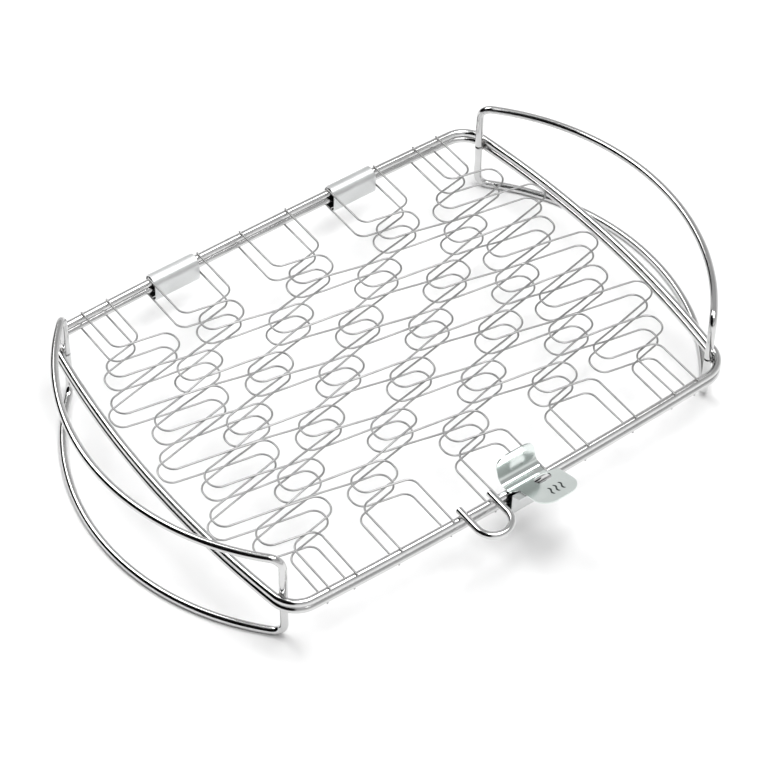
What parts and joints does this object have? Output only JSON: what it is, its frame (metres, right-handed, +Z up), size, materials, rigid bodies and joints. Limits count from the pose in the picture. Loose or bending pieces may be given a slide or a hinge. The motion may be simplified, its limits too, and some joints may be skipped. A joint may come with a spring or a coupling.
{
  "type": "grill basket",
  "caption": "Hinged flat wire basket of bent steel rod that holds food over a grill, with bow handles, loose sheet hinge sleeves and a swinging thumb latch.",
  "frame": {"origin": "under the middle of the rod frame, on the surface that the lower handles rest on", "axes": "+X along the long rails to the right, +Y from the latch side to the hinge side, +Z up"},
  "size_m": [0.5004, 0.3595, 0.085],
  "materials": {
    "rod": "bright drawn and electropolished steel rod",
    "wire": "bright thin steel wire",
    "sheet": "bent stainless sheet, lightly polished"
  },
  "bodies": {
    "lower_basket": {"lower_frame": "rod", "lower_handle_left": "rod", "lower_handle_right": "rod", "lower_wire_01": "wire", "lower_wire_02": "wire", "lower_wire_03": "wire", "lower_wire_04": "wire", "lower_wire_05": "wire", "lower_wire_06": "wire", "lower_wire_07": "wire", "lower_wire_08": "wire", "lower_wire_09": "wire", "lower_wire_10": "wire"},
    "hinge_sleeves": {"hinge_sleeve_left": "sheet", "hinge_sleeve_right": "sheet"},
    "lid": {"upper_frame": "rod", "upper_handle_left": "rod", "upper_handle_right": "rod", "finger_loop": "rod", "upper_wire_01": "wire", "upper_wire_02": "wire", "upper_wire_03": "wire", "upper_wire_04": "wire", "upper_wire_05": "wire", "upper_wire_06": "wire", "upper_wire_07": "wire", "upper_wire_08": "wire", "upper_wire_09": "wire", "upper_wire_10": "wire"},
    "latch": {"latch_plate": "sheet", "latch_hook": "sheet"}
  },
  "joints": [
    {"name": "lid_lift", "type": "slide", "parent": "lower_basket", "child": "hinge_sleeves", "axis": [0, 0, 1], "range_m": [0, 0.0075]},
    {"name": "lid_swing", "type": "hinge", "parent": "hinge_sleeves", "child": "lid", "pos_m": [0, 0.1584, 0.04585], "axis": [-1, 0, 0], "range_deg": [0, 105]},
    {"name": "latch_swing", "type": "hinge", "parent": "lid", "child": "latch", "pos_m": [0.004, -0.15975, 0.04585], "axis": [-1, 0, 0], "range_deg": [0, 60]}
  ]
}
